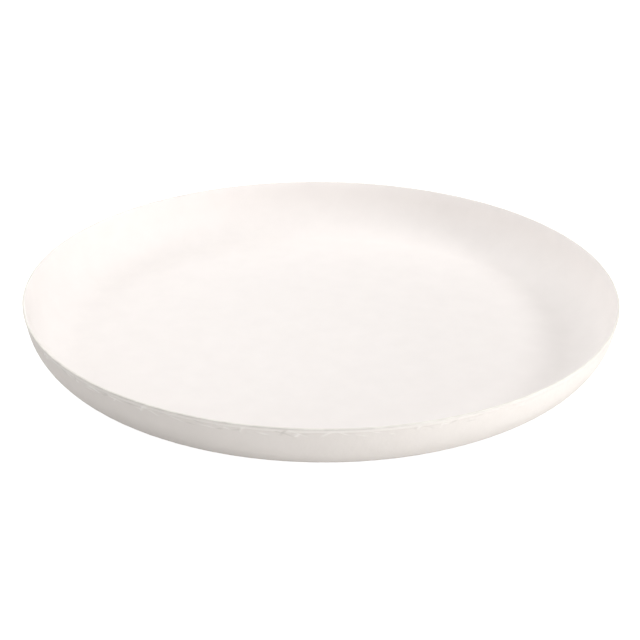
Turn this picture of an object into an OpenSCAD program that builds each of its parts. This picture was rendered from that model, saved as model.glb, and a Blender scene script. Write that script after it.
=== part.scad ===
// Round coupe plate, pressed in one piece from wet plant fibre and trimmed at the rim.
// Millimetres, +Z up. The origin is the centre of the flat base, on the surface it stands on.
// The sheet has one thickness all over. From the axis outwards it is a flat base, a round bend and
// a short straight wall, which ends in a trimmed rim with a fine bead on its outside.

/* [Plate] */
// Diameter over the trim bead, which is the widest part
plate_d = 230; // [180:1:270]
// Height from the base to the top of the rim
plate_h = 21; // [19:0.5:32]
// Thickness of the pressed sheet
sheet = 1; // [0.8:0.1:1.6]

/* [Wall] */
// Outer radius of the bend between base and wall
bend_r = 19; // [12:0.5:20]
// Lean of the wall, outwards from upright, in degrees
lean = 11; // [5:1:25]

/* [Rim] */
// Rounding of the rim's inner and outer edges
edge_r = 0.3; // [0.1:0.05:0.4]
// Depth of the trim bead's middle below the top of the rim
bead_drop = 0.95; // [0.95:0.05:3]
// Height of the trim bead where it meets the wall
bead_w = 1.1; // [0.4:0.1:1.1]
// Stand-out of the trim bead from the wall
bead_out = 0.18; // [0.15:0.01:0.3]

/* [Hidden] */

// Facets of a full turn of the plate, and of a full circle in its section
turn_fn = 240;
arc_fn = 120;

// Directions in the section, as [radius, height]: square to the wall on each side, up and down
outward = [cos(lean), -sin(lean)];
inward = -outward;
up = [0, 1];
down = -up;

// Height of the trim bead's middle, and the radius of the circle whose cap stands out of the wall
bead_z = plate_h - bead_drop;
bead_r = (pow(bead_w / 2, 2) + pow(bead_out, 2)) / (2 * bead_out);

// Radius of the wall's outer face at the bead's middle, where the bead itself reaches plate_d / 2
bead_face = plate_d / 2 - bead_r + (bead_r - bead_out) * cos(lean);

// Radius of the wall at height z and at a depth below its outer face, measured square to the face
function wall_at(z, depth) = bead_face + (z - bead_z) * tan(lean) - depth / cos(lean);

// Centres of the rim's rounded edges
edge_z = plate_h - edge_r;
outer_edge = [wall_at(edge_z, edge_r), edge_z];
inner_edge = [wall_at(edge_z, sheet - edge_r), edge_z];

// The bend touches the base and the wall, so its centre lies one bend radius from both
bend_centre = [wall_at(bend_r, bend_r), bend_r];
base_r = bend_centre[0];

// Pie slice of a circle of radius r, between two directions less than a half turn apart
module slice(r, from, to) {
    intersection() {
        circle(r, $fn = arc_fn);
        polygon([[0, 0], 2 * r * from, 2 * r * (from + to), 2 * r * to]);
    }
}

// Flat part of the base, from the axis to the bend
module base_section() {
    square([base_r, sheet]);
}

// Round bend between the base and the wall, of even thickness
module bend_section() {
    translate(bend_centre) difference() {
        slice(bend_r, down, outward);
        circle(bend_r - sheet, $fn = arc_fn);
    }
}

// Straight wall up to the top of the rim, less the two rounded edges
module wall_section() {
    polygon([
        bend_centre + bend_r * outward,
        outer_edge + edge_r * outward,
        outer_edge,
        outer_edge + edge_r * up,
        inner_edge + edge_r * up,
        inner_edge,
        inner_edge + edge_r * inward,
        bend_centre + (bend_r - sheet) * outward
    ]);
    translate(outer_edge) slice(edge_r, outward, up);
    translate(inner_edge) slice(edge_r, up, inward);
}

// Trim bead: the cap of its circle, with a root that reaches the middle of the sheet
module bead_section() {
    translate([wall_at(bead_z, 0), bead_z]) rotate(-lean) intersection() {
        translate([bead_out - bead_r, 0]) circle(bead_r, $fn = arc_fn);
        translate([-sheet / 2, -bead_w / 2]) square([sheet, bead_w]);
    }
}

module plate() {
    color([0.98, 0.96, 0.95]) rotate_extrude($fn = turn_fn) {
        base_section();
        bend_section();
        wall_section();
        bead_section();
    }
}

plate();
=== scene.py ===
"""A moulded-fibre coupe plate on a pale studio floor.

The plate is pressed in one piece from wet plant-fibre pulp, between a polished mould on the inside
and a wire screen on the outside, and its rim is trimmed after pressing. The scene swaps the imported
solid for a finer mesh of the same section, which also has the relief of pressing and trimming.
Metres, +Z up, the plate stands on the floor at the origin.
"""

import logging
import math
import random
from dataclasses import dataclass, field
from enum import Enum

import bpy
import numpy as np
from mathutils import Matrix, Vector, noise


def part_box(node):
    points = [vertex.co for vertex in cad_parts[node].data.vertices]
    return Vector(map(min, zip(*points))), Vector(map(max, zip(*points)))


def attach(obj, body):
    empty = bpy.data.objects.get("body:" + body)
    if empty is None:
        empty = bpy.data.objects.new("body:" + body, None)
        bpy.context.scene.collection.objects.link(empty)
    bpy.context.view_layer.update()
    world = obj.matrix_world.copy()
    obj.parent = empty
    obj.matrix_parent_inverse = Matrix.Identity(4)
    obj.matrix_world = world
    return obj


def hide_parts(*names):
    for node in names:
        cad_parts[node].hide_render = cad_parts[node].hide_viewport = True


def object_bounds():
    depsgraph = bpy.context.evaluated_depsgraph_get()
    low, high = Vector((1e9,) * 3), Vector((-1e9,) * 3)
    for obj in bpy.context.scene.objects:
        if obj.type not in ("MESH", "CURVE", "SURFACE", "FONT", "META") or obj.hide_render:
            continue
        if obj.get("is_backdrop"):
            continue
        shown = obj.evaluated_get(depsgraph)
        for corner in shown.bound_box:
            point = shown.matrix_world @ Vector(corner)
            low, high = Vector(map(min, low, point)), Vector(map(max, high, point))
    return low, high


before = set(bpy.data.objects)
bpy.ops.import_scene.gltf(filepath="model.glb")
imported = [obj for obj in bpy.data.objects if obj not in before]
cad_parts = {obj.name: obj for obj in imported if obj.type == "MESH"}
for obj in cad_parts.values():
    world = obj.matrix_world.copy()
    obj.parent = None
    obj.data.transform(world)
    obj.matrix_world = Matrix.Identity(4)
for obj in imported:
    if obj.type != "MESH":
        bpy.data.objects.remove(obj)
CAD_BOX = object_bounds()

MM = 0.001
PLATE_NODE = "plate"

# Attributes of the plate's mesh that its finishes read: painted highlight and painted shade along
# the trim
PAINTED_HIGHLIGHT = "painted_highlight"
PAINTED_SHADE = "painted_shade"

# Sockets of Blender's Mix node when it mixes colours
MIX_SHARE, MIX_FROM, MIX_TO, MIX_RESULT = 0, 6, 7, 2

log = logging.getLogger("plate_scene")


def linear(hex_colour: str) -> tuple[float, float, float, float]:
    """Turn an sRGB hex colour into linear light.

    Args:
        hex_colour: Six hex digits after a hash, such as "#F4F0EA".

    Returns:
        Red, green, blue and full opacity as Blender's sockets want them.
    """
    channels = [int(hex_colour[i:i + 2], 16) / 255 for i in (1, 3, 5)]
    red, green, blue = (
        c / 12.92 if c <= 0.04045 else ((c + 0.055) / 1.055) ** 2.4 for c in channels
    )
    return red, green, blue, 1.0


def add_node(
    tree: bpy.types.NodeTree,
    kind: str,
    settings: dict[str, object] | None = None,
    inputs: dict[str | int, object] | None = None,
) -> bpy.types.Node:
    """Add a shader node with its settings, and set or link its inputs.

    Args:
        tree: Node tree that receives the node.
        kind: Blender's name of the node type.
        settings: Values for the node's own properties.
        inputs: For each input, by name or number, a value or another node's output socket.

    Returns:
        The new node.
    """
    node = tree.nodes.new(kind)
    for name, value in (settings or {}).items():
        setattr(node, name, value)
    for key, value in (inputs or {}).items():
        if isinstance(value, bpy.types.NodeSocket):
            tree.links.new(value, node.inputs[key])
        else:
            node.inputs[key].default_value = value
    return node


def smooth_step(low: float, high: float, x: float) -> float:
    """Rise smoothly from 0 at low to 1 at high.

    Args:
        low: Where the rise starts.
        high: Where it ends.
        x: Where to read it.

    Returns:
        A share between 0 and 1.
    """
    t = min(max((x - low) / (high - low), 0.0), 1.0)
    return t * t * (3 - 2 * t)


class Face(Enum):
    """How a stretch of the plate's surface was made."""

    SCREENED = 0
    TRIMMED = 1
    POLISHED = 2


@dataclass(frozen=True)
class Ring:
    """One circle of the plate's surface, with the direction that its surface faces."""

    radius: float
    height: float
    facing: tuple[float, float]
    face: Face
    segments: int


@dataclass(frozen=True)
class Section:
    """Cross-section of the sheet, with the same sizes as the solid that it stands for."""

    widest: float
    height: float
    sheet: float = 1.0 * MM
    bend_radius: float = 19.0 * MM
    lean_deg: float = 11.0
    edge_radius: float = 0.3 * MM
    bead_drop: float = 0.95 * MM
    bead_width: float = 1.1 * MM
    bead_out: float = 0.18 * MM

    @property
    def lean(self) -> float:
        """Lean of the wall from upright, in radians."""
        return math.radians(self.lean_deg)

    @property
    def edge_z(self) -> float:
        """Height of the centres of the rim's rounded edges."""
        return self.height - self.edge_radius

    @property
    def bead_z(self) -> float:
        """Height of the trim bead's middle."""
        return self.height - self.bead_drop

    @property
    def bead_radius(self) -> float:
        """Radius of the circle whose cap is the trim bead."""
        return ((self.bead_width / 2) ** 2 + self.bead_out ** 2) / (2 * self.bead_out)

    @property
    def bend_centre(self) -> tuple[float, float]:
        """Centre of the bend, as radius and height."""
        return self.wall_at(self.bend_radius, self.bend_radius), self.bend_radius

    @property
    def bend_top(self) -> float:
        """Height at which the outside of the bend runs into the wall."""
        return self.bend_radius * (1 - math.sin(self.lean))

    def wall_at(self, height: float, depth: float) -> float:
        """Radius of the wall at a height and a depth under its outer face.

        Args:
            height: Height above the base.
            depth: Depth under the outer face, measured square to it.

        Returns:
            The radius there.
        """
        sunk = (self.bead_radius - self.bead_out) * math.cos(self.lean)
        face = self.widest - self.bead_radius + sunk
        return face + (height - self.bead_z) * math.tan(self.lean) - depth / math.cos(self.lean)


@dataclass(frozen=True)
class Spacing:
    """How finely the plate's mesh is laid out."""

    inside_turn: int = 360
    outside_turn: int = 720
    fine_turn: int = 1440
    centre_turn: int = 15
    bend_steps: int = 22
    edge_steps: int = 4
    flat_step: float = 6.0 * MM
    wall_step: float = 0.8 * MM
    rim_step: float = 0.12 * MM
    rim_depth: float = 3.4 * MM


@dataclass(frozen=True)
class Stretch:
    """How one stretch of the surface was made, and how many segments its rings have."""

    face: Face
    turn: int


@dataclass
class Outline:
    """Rings along the section, from the middle of the underside round to that of the well."""

    section: Section
    spacing: Spacing
    rings: list[Ring] = field(default_factory=list)

    def put(self, radius: float, height: float, facing: float, stretch: Stretch) -> None:
        """Add one ring, whose normal has the angle facing from outwards towards up."""
        direction = (math.cos(facing), math.sin(facing))
        self.rings.append(Ring(radius, height, direction, stretch.face, stretch.turn))

    def disc(self, height: float, facing: float, stretch: Stretch, outwards: bool) -> None:
        """Add the rings of a flat disc, with fewer segments towards its centre.

        Args:
            height: Height of the disc.
            facing: Angle of its normal, from outwards towards up.
            stretch: Stretch of the surface, with the segments at the edge of the disc.
            outwards: Whether the rings run from the centre to the edge.
        """
        edge = self.section.bend_centre[0]
        count = round(edge / self.spacing.flat_step)
        radii = [edge * (k + 1) / count for k in range(count - 1)]
        for radius in radii if outwards else reversed(radii):
            turn = stretch.turn
            while (turn % 2 == 0 and turn > self.spacing.centre_turn
                   and radius < edge * turn / stretch.turn / 2):
                turn //= 2
            self.put(radius, height, facing, Stretch(stretch.face, turn))

    def arc(self, centre: tuple[float, float], radius: float, start: float, end: float,
            steps: int, stretch: Stretch, hollow: bool = False) -> None:
        """Add the rings of an arc, both ends included.

        Args:
            centre: Centre of the arc, as radius and height.
            radius: Radius of the arc.
            start: Angle of the first ring, from outwards towards up.
            end: Angle of the last ring.
            steps: Number of steps between the rings.
            stretch: Stretch of the surface.
            hollow: Whether the surface faces the centre of the arc.
        """
        for k in range(steps + 1):
            angle = start + (end - start) * k / steps
            out, up = radius * math.cos(angle), radius * math.sin(angle)
            facing = angle + math.pi if hollow else angle
            self.put(centre[0] + out, centre[1] + up, facing, stretch)

    def wall(self, start: float, end: float, depth: float, facing: float, step: float,
             stretch: Stretch) -> None:
        """Add rings up or down the wall between two heights, both left out.

        Args:
            start: Height that the rings come from.
            end: Height that they go to.
            depth: Depth under the wall's outer face.
            facing: Angle of the wall's normal, from outwards towards up.
            step: Distance between the rings, which is rounded to fit.
            stretch: Stretch of the surface.
        """
        count = max(round(abs(end - start) / step), 1)
        for k in range(1, count):
            height = start + (end - start) * k / count
            self.put(self.section.wall_at(height, depth), height, facing, stretch)

    def trace(self) -> list[Ring]:
        """Lay out the whole section.

        Returns:
            The rings in order, without the two centre points.
        """
        s, sp = self.section, self.spacing
        down, up = -math.pi / 2, math.pi / 2
        outwards, inwards = -s.lean, math.pi - s.lean
        rim_low = s.height - sp.rim_depth
        edge_low = s.edge_z - s.edge_radius * math.sin(s.lean)
        outer_edge = (s.wall_at(s.edge_z, s.edge_radius), s.edge_z)
        inner_edge = (s.wall_at(s.edge_z, s.sheet - s.edge_radius), s.edge_z)
        outside = Stretch(Face.SCREENED, sp.outside_turn)
        outside_rim = Stretch(Face.SCREENED, sp.fine_turn)
        cut = Stretch(Face.TRIMMED, sp.fine_turn)
        inside_rim = Stretch(Face.POLISHED, sp.fine_turn)
        inside = Stretch(Face.POLISHED, sp.inside_turn)

        self.disc(0.0, down, outside, outwards=True)
        self.arc(s.bend_centre, s.bend_radius, down, outwards, sp.bend_steps, outside)
        self.wall(s.bend_top, rim_low, 0.0, outwards, sp.wall_step, outside)
        self.put(s.wall_at(rim_low, 0.0), rim_low, outwards, outside)
        self.wall(rim_low, edge_low, 0.0, outwards, sp.rim_step, outside_rim)
        self.arc(outer_edge, s.edge_radius, outwards, up, sp.edge_steps, cut)
        self.arc(inner_edge, s.edge_radius, up, inwards, sp.edge_steps, inside_rim)
        self.put(s.wall_at(rim_low, s.sheet), rim_low, inwards, inside)
        self.wall(rim_low, s.bend_top, s.sheet, inwards, sp.wall_step, inside)
        self.arc(s.bend_centre, s.bend_radius - s.sheet, outwards, down, sp.bend_steps, inside,
                 hollow=True)
        self.disc(s.sheet, up, inside, outwards=False)
        return self.rings


@dataclass(frozen=True)
class Lumps:
    """Random lumps of pulp in two sizes, each with its number to a metre."""

    coarse: float
    fine: float
    fine_share: float

    def height(self, point: Vector, seed: Vector) -> float:
        """Height of the lumps at a point, about -1 to 1, in the pattern that the seed picks."""
        coarse = noise.noise(point * self.coarse + seed)
        return coarse + self.fine_share * noise.noise(point * self.fine + seed)


@dataclass(frozen=True)
class Trim:
    """Marks of the trim, which cut unevenly and dragged hardest at the sheet where it started.

    The bead is the pulp that the trim pushed out. Its colour is painted paler there, a painted
    highlight where light would catch the bead's upper side, and just above, at the cut itself, it is
    painted darker, a painted shade under the rim's edge. Each number called changes is to a metre of
    rim.
    """

    start_deg: float = 250.0
    start_spread: tuple[float, float] = (0.75, 0.95)
    least_drag: float = 0.25
    stray: float = 0.12 * MM
    stray_changes: float = 90.0
    bead_share: float = 0.9
    bead_spread: float = 0.5
    bead_changes: float = 300.0
    least_bead: float = 0.3
    # Where the painted highlight on the bead and the painted shade under the rim's edge lie
    highlight_depth: float = 1.1 * MM
    highlight_width: float = 1.0 * MM
    highlight_share: float = 0.6
    shade_depths: tuple[float, float] = (0.3 * MM, 0.65 * MM)
    shade_spread: float = 0.35
    shade_changes: float = 240.0
    least_shade: float = 0.25
    crease_clears: float = 0.8
    seed: float = 3.7

    def drag(self, angle: float) -> float:
        """Tell how hard the trim dragged at the sheet.

        Args:
            angle: Angle round the rim, in radians.

        Returns:
            A share between the least drag and 1.
        """
        nearness = 0.5 + 0.5 * math.cos(angle - math.radians(self.start_deg))
        low, high = self.start_spread
        return self.least_drag + (1 - self.least_drag) * smooth_step(low, high, nearness)

    def strays(self, rim_point: Vector) -> float:
        """Tell how far the trim strays up or down at a point of the rim's circle."""
        return self.stray * noise.noise(rim_point * self.stray_changes + Vector((self.seed, 0, 0)))

    def bead(self, section: Section, ring: Ring, rim_point: Vector) -> float:
        """Stand-out of the trim bead at one point of the outside.

        Args:
            section: Section of the sheet.
            ring: Ring of the point.
            rim_point: Point on the rim's circle in the same direction.

        Returns:
            Distance out of the wall.
        """
        offset = (ring.height - section.bead_z - self.strays(rim_point)) / (section.bead_width / 2)
        if abs(offset) >= 1:
            return 0.0
        change = noise.noise(rim_point * self.bead_changes + Vector((0, self.seed, 0)))
        drag = self.drag(math.atan2(rim_point.y, rim_point.x))
        share = self.bead_share + self.bead_spread * change
        share *= self.least_bead + (1 - self.least_bead) * drag
        return section.bead_out * share * (1 - offset * offset)

    def painted_light(self, depth: float, rim_point: Vector, crease: float) -> tuple[float, float]:
        """Tell how much painted highlight and painted shade the pulp's colour gets at one point near
        the rim.

        Args:
            depth: Depth of the point below the top of the rim.
            rim_point: Point on the rim's circle in the same direction.
            crease: Height of the creases there, as a share of the highest.

        Returns:
            How far the colour is painted paler as a highlight, on the bead and on raised creases,
            and how far it is painted darker as shade, at the cut and in crease grooves.
        """
        drag = self.drag(math.atan2(rim_point.y, rim_point.x))
        # Painted highlight on the bead's upper side, strongest where the trim dragged hardest
        offset = (depth - self.highlight_depth + self.strays(rim_point)) / (self.highlight_width / 2)
        painted_highlight = self.highlight_share * drag * max(1 - offset * offset, 0.0)
        change = noise.noise(rim_point * self.shade_changes + Vector((0, 0, self.seed)))
        uneven = smooth_step(-self.shade_spread, self.shade_spread, change)
        near_cut = 1 - smooth_step(*self.shade_depths, depth)
        # Painted shade just under the rim's edge, broken up at random
        painted_shade = drag * near_cut * (self.least_shade + uneven)
        # Raised creases get painted highlight, and grooves get painted shade
        return (min(max(painted_highlight + crease, 0.0), 1.0),
                min(max(painted_shade - self.crease_clears * crease, 0.0), 1.0))


@dataclass(frozen=True)
class Crease:
    """One short crease near the rim, where the trim dragged at the damp sheet."""

    along: float
    below: float
    length: float
    width: float
    slope: float
    sag: float
    rise: float
    end_fade: float = 1.5

    def heights(self, place: np.ndarray, girth: float, depth: float) -> np.ndarray:
        """Height of the crease at points of one ring.

        Args:
            place: Place of each point along the ring.
            girth: Length of the whole ring.
            depth: Depth of the ring below the top of the rim.

        Returns:
            How far the crease stands out at each point.
        """
        across = (place - self.along + girth / 2) % girth - girth / 2
        share = across / (self.length / 2)
        middle = self.below + self.slope * across + self.sag * share ** 2
        fade = np.clip(1 - share ** 2, 0, 1) ** self.end_fade
        return self.rise * fade * np.exp(-((depth - middle) / self.width) ** 2)


@dataclass(frozen=True)
class CreaseSpread:
    """How creases are scattered round the rim, most of them just under the trim bead.

    Two of three stand out, and the third is a groove. The sag bends a crease between its ends.
    """

    count: int = 240
    seed: int = 11
    drop: float = 3.2 * MM
    drop_shape: tuple[float, float] = (1.1, 2.4)
    length: tuple[float, float] = (2.0 * MM, 7.5 * MM)
    width: tuple[float, float] = (0.2 * MM, 0.38 * MM)
    slope: float = 0.45
    sag: float = 0.5 * MM
    rise: float = 0.16 * MM
    least_rise: float = 0.5
    ways: tuple[int, ...] = (-1, 1, 1)

    def scatter(self, section: Section, trim: Trim) -> list[Crease]:
        """Scatter the creases, higher where the trim dragged harder.

        Args:
            section: Section of the sheet.
            trim: The trim that made the creases.

        Returns:
            The creases, the same ones each time.
        """
        chance = random.Random(self.seed)
        girth = 2 * math.pi * section.widest
        bead_low = section.bead_drop + section.bead_width / 2
        places = [chance.uniform(0, girth) for _ in range(self.count)]
        return [
            Crease(
                along=place,
                below=bead_low + chance.betavariate(*self.drop_shape) * self.drop,
                length=chance.uniform(*self.length),
                width=chance.uniform(*self.width),
                slope=chance.gauss(0, self.slope),
                sag=chance.gauss(0, self.sag),
                rise=chance.choice(self.ways) * chance.uniform(self.least_rise, 1.0) * self.rise
                * trim.drag(place / section.widest),
            )
            for place in places
        ]


@dataclass
class Plate:
    """The pressed plate: its section turned about Z, with the relief of its making.

    The lumps are counted to a metre, so 420 of them are 2.4 mm each. The waves in the rim's height
    are counted to the rim's radius.
    """

    section: Section
    spacing: Spacing = Spacing()
    trim: Trim = Trim()
    crease_spread: CreaseSpread = CreaseSpread()
    seed: float = 3.7
    waviness: float = 0.10 * MM
    waves: float = 2.2
    press_relief: float = 0.05 * MM
    press_lumps: Lumps = Lumps(coarse=420.0, fine=900.0, fine_share=0.6)
    press_fade: float = 3.0 * MM
    trim_relief: float = 0.05 * MM
    trim_lumps: Lumps = Lumps(coarse=700.0, fine=1500.0, fine_share=0.5)
    mould_relief: float = 0.015 * MM
    mould_lumps: float = 160.0

    def relief(self, ring: Ring, point: Vector, rim_point: Vector) -> float:
        """Height of the surface over the true section at one point, without the creases.

        Args:
            ring: Ring of the point.
            point: The point on the true section.
            rim_point: Point on the rim's circle in the same direction.

        Returns:
            Distance along the surface's normal.
        """
        seed = Vector((self.seed, self.seed, self.seed))
        if ring.face is Face.SCREENED:
            # The lumps fade out towards the base, so that all of it lies on the table.
            level = smooth_step(0, self.press_fade, ring.height)
            lumps = self.press_relief * level * self.press_lumps.height(point, seed)
            return lumps + self.trim.bead(self.section, ring, rim_point)
        if ring.face is Face.TRIMMED:
            return self.trim_relief * self.trim_lumps.height(point, seed)
        return self.mould_relief * noise.noise(point * self.mould_lumps + seed)

    def lifts(self, ring: Ring, creases: list[Crease]) -> np.ndarray:
        """Height of all creases at the points of one ring.

        Args:
            ring: The ring.
            creases: The creases round the rim.

        Returns:
            How far the surface is lifted at each point, which is nought away from the rim.
        """
        lifts = np.zeros(ring.segments)
        if ring.face is Face.SCREENED and ring.segments == self.spacing.fine_turn:
            girth = 2 * math.pi * ring.radius
            place = np.arange(ring.segments) * girth / ring.segments
            for crease in creases:
                lifts += crease.heights(place, girth, self.section.height - ring.height)
        return lifts

    def painted_light(self, ring: Ring, rim_point: Vector, lift: float) -> tuple[float, float]:
        """Tell how much painted highlight and painted shade one point of a ring gets.

        Args:
            ring: Ring of the point.
            rim_point: Point on the rim's circle in the same direction.
            lift: Height of the creases there.

        Returns:
            How far its colour is painted paler as a highlight, and how far it is painted darker as
            shade.
        """
        depth = self.section.height - ring.height
        if ring.face is Face.POLISHED or depth > self.spacing.rim_depth:
            return 0.0, 0.0
        return self.trim.painted_light(depth, rim_point, lift / self.crease_spread.rise)

    def vertices(
        self, rings: list[Ring]
    ) -> tuple[list[tuple[float, float, float]], dict[str, np.ndarray]]:
        """Turn the rings into points, moved by the relief and the rim's slight waviness.

        Args:
            rings: The section's rings.

        Returns:
            The points ring by ring, with the underside's and the well's centre at the two ends,
            and for each of them how much painted highlight and painted shade its colour gets.
        """
        s = self.section
        creases = self.crease_spread.scatter(s, self.trim)
        points = [(0.0, 0.0, 0.0)]
        painted_light = [(0.0, 0.0)]
        for ring in rings:
            wall_share = smooth_step(s.sheet, s.height, ring.height)
            lifts = self.lifts(ring, creases)
            for k in range(ring.segments):
                angle = 2 * math.pi * k / ring.segments
                x, y = math.cos(angle), math.sin(angle)
                true = Vector((ring.radius * x, ring.radius * y, ring.height))
                rim_point = Vector((true.x, true.y, 0)).normalized() * s.widest
                out = self.relief(ring, true, rim_point) + float(lifts[k])
                wave = noise.noise(Vector((x * self.waves, y * self.waves, self.seed)))
                r = ring.radius + out * ring.facing[0]
                z = ring.height + out * ring.facing[1] + wall_share * self.waviness * wave
                points.append((r * x, r * y, z))
                # Painted highlight and painted shade of the trim at this point
                painted_light.append(self.painted_light(ring, rim_point, float(lifts[k])))
        points.append((0.0, 0.0, s.sheet))
        painted_light.append((0.0, 0.0))
        painted_highlight, painted_shade = np.array(painted_light, dtype=np.float32).T
        return points, {PAINTED_HIGHLIGHT: painted_highlight, PAINTED_SHADE: painted_shade}

    @staticmethod
    def bridge(first: int, turn: int, second: int, next_turn: int) -> list[tuple[int, ...]]:
        """Join two neighbouring rings whose segment counts are equal or a whole multiple apart.

        Args:
            first: Index of the first point of the first ring.
            turn: Segments of the first ring.
            second: Index of the first point of the second ring.
            next_turn: Segments of the second ring.

        Returns:
            Faces that look to the left of the way from the first ring to the second.
        """
        fine, coarse = max(turn, next_turn), min(turn, next_turn)
        ratio = fine // coarse
        faces: list[tuple[int, ...]] = []
        for k in range(coarse):
            fan = [(k * ratio + j) % fine for j in range(ratio + 1)]
            here, there = k, (k + 1) % coarse
            mid = ratio // 2
            if turn <= next_turn:
                a, b, f = first + here, first + there, [second + j for j in fan]
                faces += [(a, f[j + 1], f[j]) for j in range(mid)]
                if ratio % 2:
                    faces.append((a, b, f[mid + 1], f[mid]))
                else:
                    faces.append((a, b, f[mid]))
                faces += [(b, f[j + 1], f[j]) for j in range(mid + ratio % 2, ratio)]
            else:
                a, b, f = second + here, second + there, [first + j for j in fan]
                faces += [(f[j], f[j + 1], a) for j in range(mid)]
                if ratio % 2:
                    faces.append((f[mid], f[mid + 1], b, a))
                else:
                    faces.append((f[mid], b, a))
                faces += [(f[j], f[j + 1], b) for j in range(mid + ratio % 2, ratio)]
        return faces

    def build(self, finishes: dict[Face, bpy.types.Material]) -> bpy.types.Object:
        """Make the plate's mesh and dress each stretch of it.

        Args:
            finishes: Material of each kind of surface.

        Returns:
            The plate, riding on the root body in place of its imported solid.
        """
        rings = Outline(self.section, self.spacing).trace()
        starts = [1]
        for ring in rings:
            starts.append(starts[-1] + ring.segments)
        faces: list[tuple[int, ...]] = []
        kinds: list[int] = []

        def add(new: list[tuple[int, ...]], face: Face) -> None:
            """Keep new faces with their kind of surface."""
            faces.extend(new)
            kinds.extend([face.value] * len(new))

        turn = rings[0].segments
        add([(0, 1 + (k + 1) % turn, 1 + k) for k in range(turn)], rings[0].face)
        for i in range(len(rings) - 1):
            add(self.bridge(starts[i], rings[i].segments, starts[i + 1], rings[i + 1].segments),
                rings[i].face)
        turn, base, centre = rings[-1].segments, starts[-2], starts[-1]
        add([(base + k, base + (k + 1) % turn, centre) for k in range(turn)], rings[-1].face)

        points, painted_light = self.vertices(rings)
        mesh = bpy.data.meshes.new("moulded_plate")
        mesh.from_pydata(points, [], faces)
        # Painted highlight and painted shade go onto the mesh as point attributes
        for name, values in painted_light.items():
            mesh.attributes.new(name, "FLOAT", "POINT").data.foreach_set("value", values)
        for kind in Face:
            mesh.materials.append(finishes[kind])
        mesh.polygons.foreach_set("material_index", np.array(kinds, dtype=np.int32))
        mesh.shade_smooth()
        mesh.update()
        plate = bpy.data.objects.new("moulded_plate", mesh)
        bpy.context.scene.collection.objects.link(plate)
        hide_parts(PLATE_NODE)
        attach(plate, "root")
        return plate


@dataclass(frozen=True)
class PulpFinish:
    """Bleached plant-fibre pulp with one of the surfaces that its making gives it.

    The pulp is matte and warm white. What tells its surfaces apart is their relief, which the eye
    reads as a smooth inside, a grainy outside and a fibrous cut at the rim. Along the trim, the
    mesh says where the colour is painted paler as a highlight and where it is painted darker as
    shade.
    """

    name: str
    colour_hex: str = "#F1ECE9"
    shade_hex: str = "#EBE6E3"
    # Colours of the painted highlight and the painted shade along the trim
    painted_highlight_hex: str = "#FEFAF5"
    painted_shade_hex: str = "#DFDAD4"
    roughness: float = 0.75
    ior: float = 1.45
    specular: float = 0.3
    cloud_mm: float = 9.0
    grain_mm: float = 1.4
    grain_depth: float = 0.0
    fibre_mm: float = 0.5
    fibre_depth: float = 0.01

    def build(self) -> bpy.types.Material:
        """Make the material.

        Returns:
            A material with a mottled colour and the finish's relief.
        """
        material = bpy.data.materials.new(self.name)
        material.use_nodes = True
        tree = material.node_tree
        tree.nodes.clear()
        place = add_node(tree, "ShaderNodeTexCoord").outputs["Object"]
        cloud = add_node(
            tree, "ShaderNodeTexNoise", {},
            {"Vector": place, "Scale": 1 / (self.cloud_mm * MM), "Detail": 4.0, "Roughness": 0.55},
        )
        colour = add_node(
            tree, "ShaderNodeMix", {"data_type": "RGBA"},
            {MIX_SHARE: cloud.outputs["Fac"], MIX_FROM: linear(self.shade_hex),
             MIX_TO: linear(self.colour_hex)},
        )
        # Mix in the painted highlight and the painted shade that the mesh carries
        for painted_light, painted_light_hex in ((PAINTED_HIGHLIGHT, self.painted_highlight_hex), (PAINTED_SHADE, self.painted_shade_hex)):
            share = add_node(tree, "ShaderNodeAttribute", {"attribute_name": painted_light})
            colour = add_node(
                tree, "ShaderNodeMix", {"data_type": "RGBA"},
                {MIX_SHARE: share.outputs["Fac"], MIX_FROM: colour.outputs[MIX_RESULT],
                 MIX_TO: linear(painted_light_hex)},
            )
        fibre = add_node(
            tree, "ShaderNodeTexNoise", {},
            {"Vector": place, "Scale": 1 / (self.fibre_mm * MM), "Detail": 3.0, "Roughness": 0.6,
             "Distortion": 1.2},
        )
        relief = add_node(
            tree, "ShaderNodeBump", {},
            {"Height": fibre.outputs["Fac"], "Distance": self.fibre_depth * MM, "Strength": 1.0},
        )
        if self.grain_depth > 0:
            grain = add_node(
                tree, "ShaderNodeTexNoise", {},
                {"Vector": place, "Scale": 1 / (self.grain_mm * MM), "Detail": 2.0,
                 "Roughness": 0.5},
            )
            relief = add_node(
                tree, "ShaderNodeBump", {},
                {"Height": grain.outputs["Fac"], "Distance": self.grain_depth * MM,
                 "Strength": 1.0, "Normal": relief.outputs["Normal"]},
            )
        shader = add_node(
            tree, "ShaderNodeBsdfPrincipled", {},
            {"Base Color": colour.outputs[MIX_RESULT], "Roughness": self.roughness, "IOR": self.ior,
             "Specular IOR Level": self.specular, "Normal": relief.outputs["Normal"]},
        )
        add_node(tree, "ShaderNodeOutputMaterial", {}, {"Surface": shader.outputs["BSDF"]})
        return material


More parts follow.
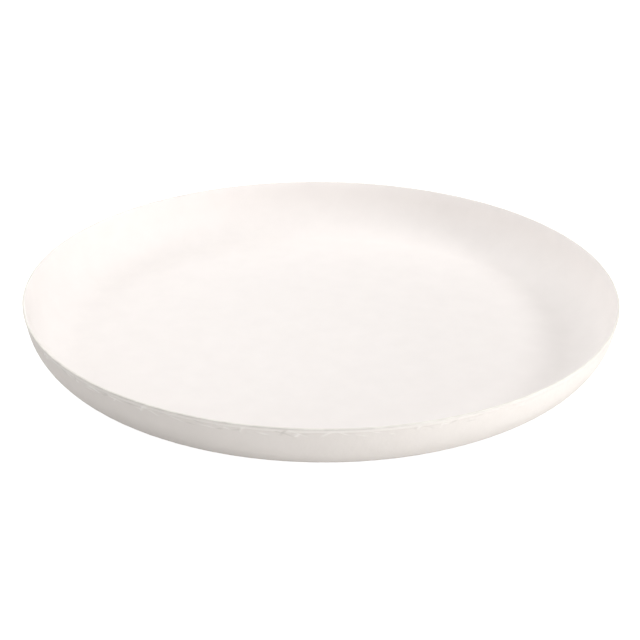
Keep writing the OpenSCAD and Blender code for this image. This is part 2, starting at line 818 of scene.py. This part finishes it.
@dataclass(frozen=True)
class PaintedFloor:
    """Matte painted board on a light box, which the eye reads as an even white ground.

    The camera sees the full glow, so the ground stays white and the plate's shadow on it stays
    pale. The plate gets a small share of it, which lifts the underside of the bend.
    """

    side: float = 6.0
    colour_hex: str = "#BCBCBC"
    roughness: float = 0.9
    glow_hex: str = "#F2F2F2"
    share_on_plate: float = 0.175
    gap: float = 0.02 * MM

    def build(self) -> bpy.types.Object:
        """Make the floor just under the plate.

        Returns:
            The floor, marked as stage.
        """
        half = self.side / 2
        mesh = bpy.data.meshes.new("studio_floor")
        corners = [(-half, -half, -self.gap), (half, -half, -self.gap),
                   (half, half, -self.gap), (-half, half, -self.gap)]
        mesh.from_pydata(corners, [], [(0, 1, 2, 3)])
        material = bpy.data.materials.new("painted_board")
        material.use_nodes = True
        tree = material.node_tree
        tree.nodes.clear()
        seen = add_node(tree, "ShaderNodeLightPath").outputs["Is Camera Ray"]
        glow = add_node(
            tree, "ShaderNodeMapRange", {}, {"Value": seen, "To Min": self.share_on_plate},
        )
        shader = add_node(
            tree, "ShaderNodeBsdfPrincipled", {},
            {"Base Color": linear(self.colour_hex), "Roughness": self.roughness,
             "Specular IOR Level": 0.0, "Emission Color": linear(self.glow_hex),
             "Emission Strength": glow.outputs["Result"]},
        )
        add_node(tree, "ShaderNodeOutputMaterial", {}, {"Surface": shader.outputs["BSDF"]})
        mesh.materials.append(material)
        floor = bpy.data.objects.new("studio_floor", mesh)
        bpy.context.scene.collection.objects.link(floor)
        floor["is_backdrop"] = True
        return floor


@dataclass(frozen=True)
class SoftBox:
    """One large soft light, aimed at the plate."""

    name: str
    azimuth_deg: float
    elevation_deg: float
    distance: float
    side: float
    power: float
    colour_hex: str = "#FFFFFF"

    def build(self) -> bpy.types.Object:
        """Hang the light.

        Returns:
            The light.
        """
        lamp = bpy.data.lights.new(self.name, "AREA")
        lamp.shape = "SQUARE"
        lamp.size = self.side
        lamp.energy = self.power
        lamp.color = linear(self.colour_hex)[:3]
        light = bpy.data.objects.new(self.name, lamp)
        bpy.context.scene.collection.objects.link(light)
        a, e = math.radians(self.azimuth_deg), math.radians(self.elevation_deg)
        away = Vector((math.cos(e) * math.cos(a), math.cos(e) * math.sin(a), math.sin(e)))
        light.location = away * self.distance
        light.rotation_euler = away.to_track_quat("Z", "Y").to_euler()
        return light


@dataclass(frozen=True)
class Studio:
    """Camera, floor and lights."""

    camera_distance: float = 0.6325
    camera_elevation_deg: float = 25.4
    camera_roll_deg: float = 0.42
    lens_mm: float = 90.3
    aim: tuple[float, float, float] = (-0.35 * MM, 0.0, 5.8 * MM)
    nearest: float = 10.0 * MM
    sky_hex: str = "#FFFFFF"
    lights: tuple[SoftBox, ...] = ()

    def camera(self) -> bpy.types.Object:
        """Stand the camera at the viewing angle of the photograph.

        Returns:
            The camera, which is the scene's camera.
        """
        data = bpy.data.cameras.new("camera")
        data.lens = self.lens_mm
        data.clip_start = self.nearest
        camera = bpy.data.objects.new("camera", data)
        bpy.context.scene.collection.objects.link(camera)
        e, roll = math.radians(self.camera_elevation_deg), math.radians(self.camera_roll_deg)
        back = Vector((0, -math.cos(e), math.sin(e)))
        camera.matrix_world = (
            Matrix.Translation(Vector(self.aim) + back * self.camera_distance)
            @ Matrix.Rotation(math.pi / 2 - e, 4, "X")
            @ Matrix.Rotation(roll, 4, "Z")
        )
        bpy.context.scene.camera = camera
        return camera

    def build(self) -> None:
        """Set up the camera, the floor, the lights and a sky that only the camera sees."""
        self.camera()
        PaintedFloor().build()
        world = bpy.data.worlds.new("studio_sky")
        world.use_nodes = True
        sky = world.node_tree.nodes["Background"]
        sky.inputs["Color"].default_value = linear(self.sky_hex)
        seen = add_node(world.node_tree, "ShaderNodeLightPath").outputs["Is Camera Ray"]
        world.node_tree.links.new(seen, sky.inputs["Strength"])
        bpy.context.scene.world = world
        for light in self.lights:
            light.build()
        bpy.context.scene.view_settings.view_transform = "Standard"


def plate_section() -> Section:
    """Read the plate's overall sizes from the frame.

    Returns:
        The section of the sheet.
    """
    low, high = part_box(PLATE_NODE)
    return Section(widest=(high.x - low.x) / 2, height=high.z - low.z)


def write_sizes() -> None:
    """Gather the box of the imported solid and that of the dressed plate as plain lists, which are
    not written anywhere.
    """
    boxes = {"cad": CAD_BOX, "visual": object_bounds()}
    plain = {name: [list(corner) for corner in box] for name, box in boxes.items()}


def main() -> None:
    """Build the studio and the plate, and report each piece."""
    logging.basicConfig(level=logging.INFO, format="%(message)s")
    # Soft light from all round, strongest from the right, so the near left wall lies in soft shade.
    Studio(lights=(
        SoftBox("key", azimuth_deg=0, elevation_deg=45, distance=2.0, side=1.2, power=15.5),
        SoftBox("back", azimuth_deg=120, elevation_deg=45, distance=2.0, side=1.2, power=11.6),
        SoftBox("fill", azimuth_deg=180, elevation_deg=25, distance=2.0, side=1.2, power=14.7),
        SoftBox("top", azimuth_deg=150, elevation_deg=70, distance=0.5, side=0.3, power=0.76),
        SoftBox("front", azimuth_deg=240, elevation_deg=60, distance=0.7, side=0.4, power=0.76),
        SoftBox("low_front", azimuth_deg=300, elevation_deg=12, distance=1.0, side=0.4, power=3.1),
        SoftBox("low_right", azimuth_deg=325, elevation_deg=5, distance=1.5, side=0.5, power=7.0),
        SoftBox("right", azimuth_deg=-12, elevation_deg=32, distance=1.0, side=0.2, power=1.6),
    )).build()
    finishes = {
        # Pressed against a wire screen, so it has a fine grain that makes the outside look soft.
        Face.SCREENED: PulpFinish("screened_pulp", colour_hex="#F3EDE8", shade_hex="#EDE7E1",
                                  grain_depth=0.06, roughness=0.85).build(),
        # Cut through the damp sheet, so torn fibre ends make the rim look dry and a little dull.
        Face.TRIMMED: PulpFinish("trimmed_pulp", colour_hex="#EDE9E3", shade_hex="#E6E2DA",
                                 fibre_depth=0.04, roughness=0.9).build(),
        # Pressed against polished metal, so the well looks smooth, with the faintest sheen.
        Face.POLISHED: PulpFinish("polished_pulp", fibre_depth=0.004, roughness=0.6).build(),
    }
    plate = Plate(plate_section()).build(finishes)
    log.info("%s: %d faces", plate.name, len(plate.data.polygons))
    write_sizes()


if __name__ == "__main__":
    main()
